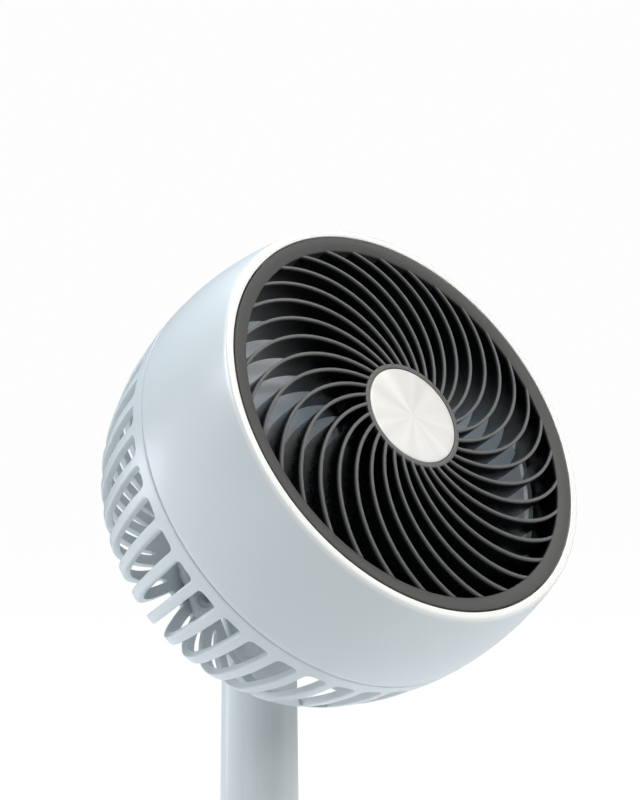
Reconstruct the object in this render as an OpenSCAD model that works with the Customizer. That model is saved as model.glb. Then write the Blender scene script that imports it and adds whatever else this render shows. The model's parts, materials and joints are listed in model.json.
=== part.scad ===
// Handheld fan: a round head with a spiral front grille and a ribbed rear
// grille, tilting on a hinge inside its rear, on a straight battery handle.
// Millimetres. Origin at the centre of the handle's lower end, Z up, the
// head facing -Y and tilted up as it stands at rest.
// Head pieces are drawn round the fan's own axis: Z runs back from the front
// plane of the head and Y runs down, and in_head() puts them in their place.

/* [Head shell] */
// Widest radius of the head
shell_r = 67.1; // [66:0.1:70]
// Distance of the widest ring behind the front plane
widest_back = 30; // [28:0.5:32]
// Radius of the side's curve, seen in section
side_curve = 105; // [100:1:120]
// Radius of the rear shoulder's curve, seen in section
rear_curve = 37.2; // [36:0.1:39]
// Depth of the head from its front plane to its flat back
head_depth = 92.4; // [92:0.1:96]
// Thickness of the shell's wall
wall = 2.2; // [1.8:0.1:2.6]
// Distance of the seam between the two shells behind the front plane
seam_back = 36.2; // [36:0.1:37.2]
// Width of the shadow gap at the seam
seam_gap = 0.35; // [0.2:0.05:0.6]
// Gap between the front grille and the shell's lip
lip_gap = 0.4; // [0.3:0.1:0.8]
// Radius of the rounding on the lip's outer edge
lip_round = 0.8; // [0.4:0.1:1.2]

/* [Front grille] */
// How far the widest ring stands out past the front grille
side_swell = 7.1; // [6.8:0.1:7.4]
// Width of the plain band round the grille
band_w = 4.3; // [3.6:0.1:5]
// How far the band's inner edge lies behind its outer edge
band_fall = 0.7; // [0.3:0.1:1]
// Number of spiral vanes
vane_count = 33; // [27:1:37]
// Thickness of a vane
vane_t = 1; // [0.7:0.05:1.2]
// Depth of the vanes from front to back
vane_depth = 12.2; // [8:0.1:12.4]
// Radius of a vane's arc
vane_curve = 34.4; // [34:0.1:36]
// Distance of the centre of a vane's arc from the fan's axis
vane_offset = 31.9; // [31.5:0.1:33]
// Turn of the whole spiral about the fan's axis
vane_turn = 65.5; // [60:0.1:80]
// Rise of the grille's crown at its hub
crown = 1.2; // [0.8:0.1:1.4]
// Radius of the grille's hub
grille_hub_r = 16.7; // [16.2:0.1:18]
// Radius of the metal cap in the hub
cap_r = 15.2; // [14:0.1:15.4]
// Thickness of the metal cap
cap_t = 1.6; // [1.2:0.1:2]

/* [Rear grille] */
// Number of slots round the rear grille
slot_count = 42; // [36:2:44]
// Width of a rib between two slots
rib_w = 3.3; // [2.6:0.1:3.6]
// Distance of the slots' front ends behind the front plane
slot_start = 41.6; // [41.4:0.1:43]
// Radius of the slots' front corners
slot_corner = 1.6; // [1:0.1:2]
// Radius of the plain disc at the back
rear_disc_r = 30; // [29.5:0.1:32]

/* [Fan and motor] */
// Number of blades
blade_count = 5; // [5:1:7]
// Gap between the blades' tips and the duct
tip_gap = 1.6; // [1.1:0.1:4]
// Front of the blades behind the front plane
blade_front = 14; // [13.4:0.1:15]
// Depth of the blades from front to back
blade_depth = 16; // [13:0.5:16.5]
// Angle that one blade covers round the axis
blade_span = 58; // [40:1:62]
// Thickness of a blade
blade_t = 1.4; // [1.2:0.1:2]
// Radius of the blades' hub
hub_r = 17; // [16.6:0.1:18]
// How far the duct's inside lies inside the front grille's rim
duct_inset = 7.4; // [7:0.1:7.6]
// Number of spokes that carry the motor
spoke_count = 5; // [4:1:7]
// Number of stator poles
pole_count = 9; // [6:3:12]
// Radius of the motor shaft
shaft_r = 1.5; // [1.2:0.05:1.6]
// Gap between the shaft and its bushes
shaft_fit = 0.03; // [0.02:0.01:0.05]

/* [Tilt hinge] */
// Tilt of the head above level at rest
tilt = 29; // [5:1:60]
// Distance of the hinge in front of the head's flat back
pivot_inset = 10.4; // [9.4:0.1:10.6]
// Distance of the hinge below the fan's axis
pivot_drop = 12.2; // [12:0.1:13]
// Radius of the neck's round top
knuckle_r = 7.5; // [7:0.1:7.6]
// Width of the neck's round top along the hinge
knuckle_w = 24.4; // [24:0.1:25]
// Thickness of the bracket's sheet
sheet_t = 2; // [1.6:0.1:2.2]
// Room for a friction washer beside the neck
washer_room = 0.6; // [0.55:0.05:0.8]
// Gap between a hinge pin and the hole that it turns in
hinge_fit = 0.06; // [0.03:0.01:0.09]
// Room round the handle where it enters the rear grille
neck_room = 1; // [0.9:0.1:1.5]

/* [Handle] */
// Length of the handle up to the neck
handle_len = 148; // [147:1:165]
// Radius of the handle at its lower end
handle_bottom_r = 13.25; // [13:0.05:14]
// Radius of the handle at its upper end
handle_top_r = 11.5; // [11.45:0.05:11.8]
// Radius of the handle's bore
bore_r = 9.7; // [9.6:0.05:9.8]
// Distance from the handle's upper end to the hinge
neck_len = 22; // [21.5:0.1:24]
// Radius of the battery cell
cell_r = 9.2; // [8.8:0.05:9.2]
// Length of the battery cell
cell_len = 64.5; // [60:0.5:65]
// Thickness of the end cap's disc
cap_disc_t = 3; // [2.4:0.1:3.5]

/* [Controls] */
// Radius of the power button
button_r = 5; // [4.5:0.1:5.2]
// Distance of the power button's centre below the circuit board's top
button_below = 10.6; // [9.6:0.1:11]
// Travel of the power button
button_travel = 0.5; // [0.3:0.05:0.6]
// How far the button stands out of the handle
button_proud = 0.5; // [0.3:0.1:0.8]
// Gap round the button
button_gap = 0.2; // [0.15:0.05:0.35]
// Number of indicator lights
light_count = 4; // [3:1:4]
// Spacing of the indicator lights
light_step = 4; // [3.6:0.1:4.2]
// Radius of an indicator light
light_r = 0.8; // [0.6:0.05:1]

/* [Hidden] */
$fn = 96;
over = 1;              // how far a cutter reaches past what it cuts
snug = 0.05;           // gap between pieces that are pushed together

// Section of the head: the side's arc and the rear shoulder's arc
side_x = shell_r - side_curve;
rear_z = head_depth - rear_curve;
rear_x = side_x + sqrt(pow(side_curve - rear_curve, 2) - pow(rear_z - widest_back, 2));
join_dir = [rear_x - side_x, rear_z - widest_back] / (side_curve - rear_curve);
join_reach = 2 * side_curve;
function side_r(z, inset) = side_x + sqrt(pow(side_curve - inset, 2) - pow(z - widest_back, 2));

grille_r = shell_r - side_swell;
duct_r = grille_r - duct_inset;
blade_r = duct_r - tip_gap;
lip_r = grille_r + lip_gap;
round_x = side_x + sqrt(pow(side_curve - lip_round, 2) - pow(widest_back - lip_round, 2));
round_z = lip_round * (1 - (widest_back - lip_round) / (side_curve - lip_round));
flange_t = 3.4;        // thickness of the grille's flange, and depth of its seat
seat_t = 2;
skirt_t = 1.5;
band_in_r = grille_r - band_w;
seat_r = band_in_r + skirt_t + 0.4;
vane_proud = 0.1;      // how far the vanes stand out of the hub and the band
cap_rim = 0.1;         // gap round the metal cap
cap_sink = 0.1;
cap_floor = cap_t - crown + cap_sink;
// Front edge of the vanes: a low dome that falls to the band at its rim.
vane_steps = [0, 20, 30, 38, 44, 48, 51, 54, 57, 60] / 60;
function vane_z(share) = -crown - vane_proud + (crown + band_fall) * pow(share * grille_r / band_in_r, 6);
hub_plate_t = 1.6;
grille_back = vane_depth - crown;
clip_count = 3;

// Clamp: front bosses, the carrier's flange and the rear grille's bosses
screw_r = 1.1;
clamp_count = 4;
clamp_turn = 45;
flange_back = seam_back - 2;
carrier_t = 3;
carrier_front = flange_back - carrier_t;
boss_r = 3.2;
boss_len = 9;
boss_bite = 0.3;       // how far a boss runs into the shell's wall
clamp_r = side_r(widest_back, wall) - boss_r + boss_bite;
lug_r = boss_r - 0.6;
rear_boss_t = 4;
boss_floor = 1.5;
clamp_bite = 6;        // how far a clamp screw runs into the front shell
tongue_t = 1.4;
screw_head_r = 2.2;
screw_head_t = 1.6;

// Motor stack, measured back from the front plane
hub_front = blade_front - 1;
hub_back = blade_front + blade_depth - 0.5;
hub_wall = 1.8;
cup_t = 1;
cup_r = hub_r - hub_wall - snug;
cup_front = hub_front + 1.8;
cup_back = hub_back - 0.7;
magnet_t = 1.5;
magnet_r = cup_r - cup_t - snug;
air_gap = 0.4;
stator_r = magnet_r - magnet_t - air_gap;
stator_front = cup_front + 3.4;
stator_back = cup_back - 2.6;
tube_in_r = 4;
tube_r = 5;
tube_front = stator_front - 1;
board_t = 1.2;
base_front = hub_back + 1.5;
base_t = 3;
base_r = hub_r;
tube_back = base_front + 5.5;
bush_len = 4;
shaft_back = tube_back - 0.2;
clip_t = 0.5;
clip_gap = 0.3;
clip_front = shaft_back - 0.6 - clip_t;
spoke_w = 4;
duct_t = 1.6;
duct_front = 12;

// Tilt hinge
pivot_back = head_depth - pivot_inset;
notch_half = handle_top_r + 0.3 + neck_room;
notch_front = pivot_back - handle_top_r - 0.5 - neck_room;
notch_top = 3.6;
notch_frame = 3;
ear_in = knuckle_w / 2 + washer_room;
ear_out = ear_in + sheet_t;
boss_h = 2;
flange_z = head_depth - wall - boss_h;
bridge_gap = 0.7;
bridge_back = pivot_back - knuckle_r - bridge_gap;
bridge_front = bridge_back - sheet_t;
ear_rise = 8.4;
ear_fall = 8;
ear_top = pivot_drop - ear_rise;
ear_bottom = pivot_drop + ear_fall;
bridge_short = 4;      // how far the bridge stops above the ears' lower ends
wing_rise = 2;         // how far the wings run above the ears
wing_w = 9.4;
wing_screw_x = 5.8;
wing_screw_y = [-6, 4];
wing_boss_r = 2.8;
screw_skin = 0.8;      // wall left over a blind screw hole
bracket_screw_x = ear_out + wing_screw_x;
bracket_screw_y = [pivot_drop + wing_screw_y[0], pivot_drop + wing_screw_y[1]];
washer_r = 6.2;
washer_slack = 0.1;
pin_r = 2;
bush_out_r = 3;
bush_in_r = 1.6;
bush_start = 5;
bush_flange_r = 4;
bush_flange_t = 1.4;
chamber_r = 3.6;
spring_t = 1;
pin_head_t = 1.8;
pin_head_r = 3.8;

// Handle
pivot_z = handle_len + neck_len;
function handle_r(z) = handle_bottom_r + (handle_top_r - handle_bottom_r) * z / handle_len;
spigot_len = 10;
spigot_r = bore_r - 0.1;
spigot_in_r = 7.6;
pad_t = 3;
cell_top = handle_len - spigot_len - pad_t;
cell_nub = 0.6;
cell_bottom = cell_top - cell_nub - cell_len;
tab_t = 0.3;
tab_w = 5;
tab_lap = 1.2;         // how far the lower tab laps the circuit board
tab_back = 1.4;        // how far the upper tab stops short of the lead's groove
frame_r = bore_r - 0.1;
frame_in_r = 7.6;
frame_disc_t = 2;
frame_top = cell_bottom - tab_t;
cap_spigot_len = 5;
frame_bottom = cap_disc_t + cap_spigot_len;
groove_half = 1.3;
groove_y = bore_r + 0.75;
lead_r = 0.5;
lead_y = groove_y - lead_r - 0.08;
lead_x = 0.62;
board_top = frame_top - frame_disc_t - 1;
board_bottom = cap_disc_t + 1;
board_half = 8.8;
pcb_t = 1.6;
board_screw_z = [frame_bottom + 6, board_top - 3];
board_screw_r = 0.75;
board_screw_len = 5;
board_screw_head_r = 1.5;
board_screw_head_t = 0.9;
usb_w = 8.9;
usb_h = 3.2;
usb_len = 7.3;
usb_front = 0.6;
usb_y = -pcb_t - usb_h / 2;
end_round = 1.2;
cap_screw_y = 5.4;
switch_h = 3.5;
switch_half = 3;
plunger_r = 1.7;
plunger_proud = 0.6;
plunger_hide = 1.1;
button_back = -pcb_t - switch_h - plunger_proud;
button_flange_r = button_r + 1;
button_flange_y = -sqrt(pow(bore_r, 2) - pow(button_flange_r, 2)) + 0.2;
button_flange_t = 1;
button_z = board_top - button_below;
light_drop = 10;
light_z = button_z - light_drop;
light_bar_y = -bore_r + 0.7;
light_bar_t = 1;
neck_screw_z = handle_len - 5;

// Puts a piece drawn round the fan's axis into its place on the handle.
module in_head() {
    translate([0, 0, pivot_z]) rotate([-90 - tilt, 0, 0]) translate([0, -pivot_drop, -pivot_back]) children();
}

module tube(outer, inner, from, to) {
    translate([0, 0, from]) difference() {
        cylinder(r = outer, h = to - from);
        translate([0, 0, -over]) cylinder(r = inner, h = to - from + 2 * over);
    }
}

module disc(radius, from, to) {
    translate([0, 0, from]) cylinder(r = radius, h = to - from);
}

// A cylinder along X between two X values.
module rod_x(radius, from, to) {
    translate([from, 0, 0]) rotate([0, 90, 0]) cylinder(r = radius, h = to - from);
}

// A cylinder along Y between two Y values.
module rod_y(radius, from, to) {
    translate([0, from, 0]) rotate([-90, 0, 0]) cylinder(r = radius, h = to - from);
}

module box(low, high) {
    translate(low) cube(high - low);
}

// Copies round the fan's axis.
module around(count, turn = 0) {
    for (i = [0:count - 1]) rotate([0, 0, turn + i * 360 / count]) children();
}

// A machine screw drawn with its head's underside at z = 0 and its shank above.
module screw(radius, length, head_r, head_t) {
    cylinder(r = radius, h = length);
    translate([0, 0, -head_t]) difference() {
        cylinder(r = head_r, h = head_t);
        for (turn = [0, 90]) rotate([0, 0, turn]) translate([-head_r * 0.6, -0.25, -over])
            cube([head_r * 1.2, 0.5, over + head_t / 2]);
    }
}

// A round lead swept along its route, one ring at each point, closed at both ends.
function lead_turn(route, i) =
    let (a = route[max(i - 1, 0)], b = route[min(i + 1, len(route) - 1)]) (b - a) / norm(b - a);
function lead_side(route, i) =
    let (d = lead_turn(route, i), s = abs(d[0]) < 0.8 ? [1, 0, 0] : [0, 1, 0], c = cross(d, s)) c / norm(c);
module lead(route, radius, sides = 8) {
    rings = [for (i = [0:len(route) - 1])
        let (d = lead_turn(route, i), u = lead_side(route, i), v = cross(d, u))
        for (k = [0:sides - 1]) route[i] + radius * (cos(k * 360 / sides) * u + sin(k * 360 / sides) * v)];
    last = (len(route) - 1) * sides;
    polyhedron(points = rings, faces = concat(
        [[for (k = [0:sides - 1]) k]],
        [for (i = [0:len(route) - 2]) for (k = [0:sides - 1])
            [i * sides + k, (i + 1) * sides + k, (i + 1) * sides + (k + 1) % sides, i * sides + (k + 1) % sides]],
        [[for (k = [sides - 1:-1:0]) last + k]]));
}

// Half section of the head's outside, drawn in by an even inset.
module head_outline(inset) {
    intersection() {
        translate([0, -over]) square([shell_r + over, head_depth + 2 * over]);
        union() {
            intersection() {
                translate([side_x, widest_back]) circle(r = side_curve - inset, $fn = 360);
                polygon([[side_x, widest_back], [side_x, widest_back] + join_reach * join_dir,
                    [side_x + join_reach, widest_back - join_reach], [side_x, widest_back - join_reach]]);
            }
            translate([rear_x, rear_z]) circle(r = rear_curve - inset, $fn = 180);
            translate([0, rear_z]) square([rear_x, rear_curve - inset]);
        }
    }
}

// Part of the shell's wall between two depths.
module wall_section(from, to, outer = 0, inner = wall) {
    intersection() {
        difference() {
            head_outline(outer);
            head_outline(inner);
        }
        translate([0, from]) square([shell_r + over, to - from]);
    }
}

// Flat front of the lip with its rounded outer edge.
module lip_section() {
    intersection() {
        union() {
            translate([0, round_z]) square([shell_r + over, seam_back]);
            translate([round_x, lip_round]) circle(r = lip_round);
            square([round_x, lip_round]);
        }
        difference() {
            intersection() {
                head_outline(0);
                square([shell_r + over, flange_t + seat_t]);
            }
            translate([0, -over]) square([lip_r, flange_t + over]);
            translate([0, -over]) square([seat_r, flange_t + seat_t + 2 * over]);
        }
    }
}

module front_shell() {
    color("white") in_head() difference() {
        union() {
            rotate_extrude($fn = 180) union() {
                lip_section();
                wall_section(flange_t, seam_back);
            }
            around(clamp_count, clamp_turn) translate([clamp_r, 0, 0])
                disc(boss_r, carrier_front - boss_len, carrier_front);
        }
        around(clamp_count, clamp_turn) translate([clamp_r, 0, 0])
            disc(screw_r + snug, carrier_front - boss_len + boss_floor, carrier_front + over);
    }
}

// A rib seen square to its length, with rounded roots where it leaves the plain band.
module rib_outline() {
    root_z = slot_start + slot_corner - 0.1;
    union() {
        translate([-rib_w / 2, slot_start - over]) square([rib_w, head_depth - slot_start + 3 * over]);
        difference() {
            translate([-rib_w / 2 - slot_corner, slot_start - over])
                square([rib_w + 2 * slot_corner, root_z - slot_start + over]);
            for (side = [-1, 1]) translate([side * (rib_w / 2 + slot_corner), root_z])
                circle(r = slot_corner, $fn = 48);
        }
    }
}

module notch(grow) {
    box([-notch_half - grow, notch_top - grow, notch_front - grow],
        [notch_half + grow, shell_r + over, head_depth + over]);
}

// Every slot round the rear, with the plain frame round the handle's notch left out.
module slots() {
    root_r = (rib_w + 2 * slot_corner) * slot_count / (2 * PI) + over;
    difference() {
        rotate_extrude($fn = 180) intersection() {
            wall_section(slot_start, head_depth + 2 * over, -over, wall + over);
            translate([rear_disc_r, 0]) square([shell_r, 2 * head_depth]);
        }
        around(slot_count) rotate([90, 0, 90]) {
            translate([0, 0, root_r]) linear_extrude(shell_r + 8 - root_r) rib_outline();
            translate([-rib_w / 2, slot_start, rear_disc_r - over])
                cube([rib_w, head_depth - slot_start + 2 * over, root_r + 0.5 - rear_disc_r + over]);
        }
        notch(notch_frame);
    }
}

module rear_grille() {
    color("white") in_head() difference() {
        union() {
            rotate_extrude($fn = 180) union() {
                difference() {
                    wall_section(seam_back, head_depth + over);
                    wall_section(seam_back - over, seam_back + seam_gap, -over, wall / 3);
                }
                wall_section(seam_back - 1.6, seam_back + 2, wall + snug, wall + tongue_t);
                wall_section(seam_back + 1, seam_back + 2, wall - snug, wall + tongue_t);
            }
            difference() {
                around(clamp_count, clamp_turn) translate([clamp_r, 0, 0])
                    disc(boss_r, flange_back, flange_back + rear_boss_t);
                rotate_extrude($fn = 180) wall_section(flange_back - over, seam_back, -over, wall + snug);
            }
            for (side = [-1, 1]) for (y = bracket_screw_y) translate([side * bracket_screw_x, y, 0])
                disc(wing_boss_r, flange_z, head_depth - wall / 2);
        }
        slots();
        notch(0);
        around(clamp_count, clamp_turn) translate([clamp_r, 0, 0])
            disc(screw_r + 0.2, flange_back - over, flange_back + rear_boss_t + over);
        for (side = [-1, 1]) for (y = bracket_screw_y) translate([side * bracket_screw_x, y, 0])
            disc(screw_r + snug, flange_z - over, head_depth - screw_skin);
    }
}

// One spiral vane, seen from the front.
module vane_outline() {
    intersection() {
        translate([vane_offset, 0]) difference() {
            circle(r = vane_curve + vane_t / 2, $fn = 180);
            circle(r = vane_curve - vane_t / 2, $fn = 180);
        }
        translate([0, -grille_r]) square([grille_r, grille_r]);
        difference() {
            circle(r = band_in_r + skirt_t / 2);
            circle(r = grille_hub_r - 0.6);
        }
    }
}

module front_grille() {
    color("dimgray") in_head() difference() {
        union() {
            rotate_extrude($fn = 180) difference() {
                polygon([[band_in_r, band_fall], [grille_r, 0], [grille_r, flange_t],
                    [band_in_r + skirt_t, flange_t], [band_in_r + skirt_t, grille_back + over],
                    [band_in_r, grille_back + over]]);
                translate([grille_r - 0.5, -0.5]) difference() {
                    square(1);
                    translate([0, 1]) circle(r = 0.5);
                }
            }
            intersection() {
                mirror([0, 1, 0]) translate([0, 0, -crown - over]) linear_extrude(vane_depth + over)
                    for (i = [0:vane_count - 1]) rotate(vane_turn + i * 360 / vane_count) vane_outline();
                rotate_extrude($fn = 180) polygon(concat([for (k = vane_steps) [k * grille_r, vane_z(k)]],
                    [[grille_r, vane_depth], [0, vane_depth]]));
            }
            tube(grille_hub_r, cap_r + cap_rim, -crown, grille_back);
            disc(grille_hub_r - 0.5, cap_floor, cap_floor + hub_plate_t);
        }
    }
}

module centre_cap() {
    edge = 0.4;
    color("silver") in_head() rotate_extrude() union() {
        translate([0, cap_floor - cap_t + edge]) square([cap_r, cap_t - edge]);
        translate([0, cap_floor - cap_t]) square([cap_r - edge, cap_t]);
        translate([cap_r - edge, cap_floor - cap_t + edge]) circle(r = edge);
    }
}

module motor_carrier() {
    color("gainsboro") in_head() difference() {
        union() {
            rotate_extrude() union() {
                translate([duct_r, duct_front]) square([duct_t, flange_back - duct_front]);
                translate([duct_r, carrier_front]) square([clamp_r - boss_r - duct_r, carrier_t]);
                translate([0, base_front]) square([base_r, base_t]);
            }
            around(clamp_count, clamp_turn) {
                translate([clamp_r, 0, 0]) disc(lug_r, carrier_front, flange_back);
                box([duct_r + duct_t / 2, -lug_r, carrier_front], [clamp_r, lug_r, flange_back]);
            }
            around(spoke_count, 90)
                box([base_r - over, -spoke_w / 2, base_front], [duct_r + duct_t / 2, spoke_w / 2, flange_back]);
            disc(tube_r + 2, base_front, base_front + 4.5);
        }
        disc(tube_r, base_front - over, base_front + 4.5 + over);
        around(clamp_count, clamp_turn) translate([clamp_r, 0, 0])
            disc(screw_r + 0.2, carrier_front - over, flange_back + over);
        translate([9, 8, 0]) disc(1.4, base_front - over, base_front + base_t + over);
    }
}

module clamp_screws() {
    color("silver") in_head() around(clamp_count, clamp_turn)
        translate([clamp_r, 0, flange_back + rear_boss_t]) rotate([180, 0, 0])
            screw(screw_r, rear_boss_t + carrier_t + clamp_bite, screw_head_r, screw_head_t);
}

module ring(outer, inner) {
    difference() {
        circle(r = outer);
        circle(r = inner);
    }
}

module stator_core() {
    shoe_t = 1.4;
    shoe_half = 360 / pole_count * 0.4;
    reach = 2 * stator_r;
    color("slategray") in_head() translate([0, 0, stator_front]) linear_extrude(stator_back - stator_front) union() {
        ring(tube_r + 2, tube_r);
        for (i = [0:pole_count - 1]) rotate(i * 360 / pole_count) {
            translate([tube_r + 1.5, -0.9]) square([stator_r - shoe_t / 2 - tube_r - 1.5, 1.8]);
            intersection() {
                ring(stator_r, stator_r - shoe_t);
                polygon([[0, 0], [reach * cos(shoe_half), -reach * sin(shoe_half)],
                    [reach * cos(shoe_half), reach * sin(shoe_half)]]);
            }
        }
    }
}

module stator_windings() {
    coil_out = 1.1;
    color("peru") in_head() around(pole_count) difference() {
        box([tube_r + 2.4, -0.95 - coil_out, stator_front - coil_out],
            [stator_r - 1.9, 0.95 + coil_out, stator_back + coil_out]);
        box([tube_r + 1, -0.95, stator_front - snug], [stator_r, 0.95, stator_back + snug]);
    }
}

module motor_board() {
    color("darkgreen") in_head() union() {
        tube(hub_r - 2.5, tube_r + 0.3, base_front - board_t, base_front);
        translate([-9, 4, base_front - board_t - 0.4]) cube([4, 3, 0.6]);
        translate([5, -8, base_front - board_t - 0.4]) cube([3, 3, 0.6]);
    }
}

module bearing_tube() {
    color("goldenrod") in_head() tube(tube_r, tube_in_r, tube_front, tube_back);
}

module bearing_bushes() {
    color("peru") in_head() {
        tube(tube_in_r, shaft_r + shaft_fit, tube_front, tube_front + bush_len);
        tube(tube_in_r, shaft_r + shaft_fit, clip_front - clip_gap - bush_len, clip_front - clip_gap);
    }
}

module bearing_cap() {
    color("dimgray") in_head() union() {
        disc(tube_r, tube_back, tube_back + 0.8);
        tube(tube_in_r, tube_in_r - 0.8, tube_back - 0.8, tube_back);
    }
}

module hinge_bracket() {
    color("lightslategray") in_head() difference() {
        union() {
            box([-ear_out, ear_top, bridge_front], [ear_out, ear_bottom - bridge_short, bridge_back]);
            for (side = [0, 1]) mirror([side, 0, 0]) {
                box([ear_in, ear_top, bridge_front], [ear_out, ear_bottom, flange_z]);
                box([ear_in, ear_top - wing_rise, flange_z - sheet_t], [ear_out + wing_w, ear_bottom, flange_z]);
            }
        }
        translate([0, pivot_drop, pivot_back]) rod_x(pin_r + hinge_fit, -ear_out - over, 0);
        translate([0, pivot_drop, pivot_back]) rod_x(bush_out_r + snug, 0, ear_out + over);
        for (side = [-1, 1]) for (y = bracket_screw_y) translate([side * bracket_screw_x, y, 0])
            disc(screw_r + 0.2, flange_z - sheet_t - over, flange_z + over);
    }
}

module bracket_screws() {
    color("silver") in_head() for (side = [-1, 1]) for (y = bracket_screw_y)
        translate([side * bracket_screw_x, y, flange_z - sheet_t])
            screw(screw_r, sheet_t + boss_h + wall - 1.5 * screw_skin, screw_head_r, screw_head_t);
}

module pivot_bush() {
    color("goldenrod") in_head() translate([0, pivot_drop, pivot_back]) difference() {
        union() {
            rod_x(bush_out_r, bush_start, ear_out + bush_flange_t);
            rod_x(bush_flange_r, ear_out, ear_out + bush_flange_t);
        }
        rod_x(bush_in_r, bush_start - over, ear_out + bush_flange_t + over);
    }
}

// Lead from the hinge to the motor's board.
function lead_t(share) = base_front + share * (pivot_back - 4 - base_front);
head_lead_route = [
    [ear_out + bush_flange_t, pivot_drop, pivot_back], [ear_out + bush_flange_t + 1.5, pivot_drop, pivot_back],
    [ear_out + bush_flange_t + 3.2, pivot_drop, pivot_back - 1.2], [ear_out + bush_flange_t + 4, pivot_drop, pivot_back - 4],
    [20.4, 12, lead_t(0.91)], [20, 12, lead_t(0.79)], [19, 11.5, lead_t(0.66)], [17, 11, lead_t(0.53)],
    [14.5, 10.2, lead_t(0.4)], [12, 9.2, lead_t(0.3)], [10, 8.4, lead_t(0.21)], [9.1, 8, lead_t(0.15)],
    [9, 8, lead_t(0.08)], [9, 8, base_front]];
module head_lead() {
    color("black") in_head() lead(head_lead_route, 0.8);
}

// One blade: a thin curved strip swept round the axis as it goes back.
module blade() {
    sweep_r = 62;
    translate([0, 0, blade_front]) mirror([0, 1, 0]) linear_extrude(blade_depth, twist = -blade_span,
        slices = 12, segments = 1, $fn = 4)
        intersection() {
            translate([34, -sweep_r]) difference() {
                circle(r = sweep_r + blade_t / 2, $fn = 60);
                circle(r = sweep_r - blade_t / 2, $fn = 60);
            }
            translate([hub_r - 1, -30]) square([blade_r - hub_r + 1, 60]);
        }
}

module impeller() {
    blade_turn = 45;
    color("lightsteelblue") in_head() union() {
        intersection() {
            around(blade_count, blade_turn) blade();
            disc(blade_r, blade_front - over, blade_front + blade_depth + over);
        }
        rotate_extrude() difference() {
            union() {
                translate([0, hub_front + 2]) square([hub_r, hub_back - hub_front - 2]);
                translate([0, hub_front]) square([hub_r - 2, 4]);
                translate([hub_r - 2, hub_front + 2]) circle(r = 2);
            }
            translate([0, hub_front + 1.8]) square([hub_r - hub_wall, hub_back]);
        }
    }
}

module rotor_cup() {
    color("silver") in_head() difference() {
        disc(cup_r, cup_front, cup_back);
        disc(cup_r - cup_t, cup_front + cup_t, cup_back + over);
        disc(shaft_r, cup_front - over, cup_front + cup_t + over);
    }
}

module magnet_ring() {
    color("dimgray") in_head() tube(magnet_r, magnet_r - magnet_t, cup_front + cup_t + 1, cup_back - 1);
}

module motor_shaft() {
    color("silver") in_head() difference() {
        disc(shaft_r, cup_front, shaft_back);
        tube(shaft_r + over, shaft_r - 0.4, clip_front, clip_front + clip_t);
    }
}

module shaft_clip() {
    color("gray") in_head() difference() {
        tube(2.7, shaft_r - 0.4, clip_front, clip_front + clip_t);
        box([-0.8, 0, clip_front - over], [0.8, 4, clip_front + clip_t + over]);
    }
}

module neck() {
    waist_z = pivot_z - 12;
    color("white") difference() {
        union() {
            intersection() {
                translate([0, 0, handle_len]) cylinder(r = handle_top_r, h = neck_len);
                rotate([90, 0, 90]) translate([0, 0, -knuckle_w]) linear_extrude(2 * knuckle_w)
                    polygon([[-handle_top_r - over, handle_len], [handle_top_r + over, handle_len],
                        [knuckle_r, waist_z], [knuckle_r, pivot_z], [-knuckle_r, pivot_z], [-knuckle_r, waist_z]]);
            }
            translate([0, 0, pivot_z]) rod_x(knuckle_r, -knuckle_w / 2, knuckle_w / 2);
            disc(spigot_r, handle_len - spigot_len, handle_len + snug);
        }
        disc(spigot_in_r, handle_len - spigot_len - over, handle_len - 1);
        disc(chamber_r, handle_len - 2, pivot_z);
        translate([0, 0, pivot_z]) {
            rod_x(chamber_r, -2, bush_start + 0.5);
            rod_x(pin_r, -knuckle_w / 2 - over, -1);
            rod_x(bush_out_r + hinge_fit, 0, knuckle_w / 2 + over);
        }
        box([-groove_half, 0, handle_len - spigot_len - over], [groove_half, bore_r, handle_len - 1]);
        translate([6, 0, neck_screw_z]) rod_y(screw_r - 0.1, 0, bore_r);
    }
}

module friction_washers() {
    color("dimgray") translate([0, 0, pivot_z]) {
        difference() {
            rod_x(washer_r, -knuckle_w / 2 - washer_room + washer_slack, -knuckle_w / 2);
            rod_x(pin_r + 0.3, -knuckle_w, 0);
        }
        difference() {
            rod_x(washer_r, knuckle_w / 2, knuckle_w / 2 + washer_room - washer_slack);
            rod_x(bush_out_r + 0.35, 0, knuckle_w);
        }
    }
}

module pivot_screw() {
    color("silver") translate([0, 0, pivot_z]) difference() {
        union() {
            rod_x(pin_r, -ear_out - spring_t, -3);
            rod_x(pin_head_r, -ear_out - spring_t - pin_head_t, -ear_out - spring_t);
        }
        translate([-ear_out - spring_t - pin_head_t - over, 0, 0]) rotate([0, 90, 0])
            cylinder(r = 1.4, h = over + 1, $fn = 6);
    }
}

module spring_washer() {
    color("gray") translate([0, 0, pivot_z]) difference() {
        rod_x(3.6, -ear_out - spring_t, -ear_out - 0.1);
        rod_x(pin_r + 0.1, -ear_out - spring_t - over, 0);
    }
}

module neck_screw() {
    color("silver") translate([6, sqrt(pow(handle_r(neck_screw_z), 2) - 36) - 1, neck_screw_z]) rotate([90, 0, 0])
        screw(screw_r - 0.1, 4.4, 1.9, 0.9);
}

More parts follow.
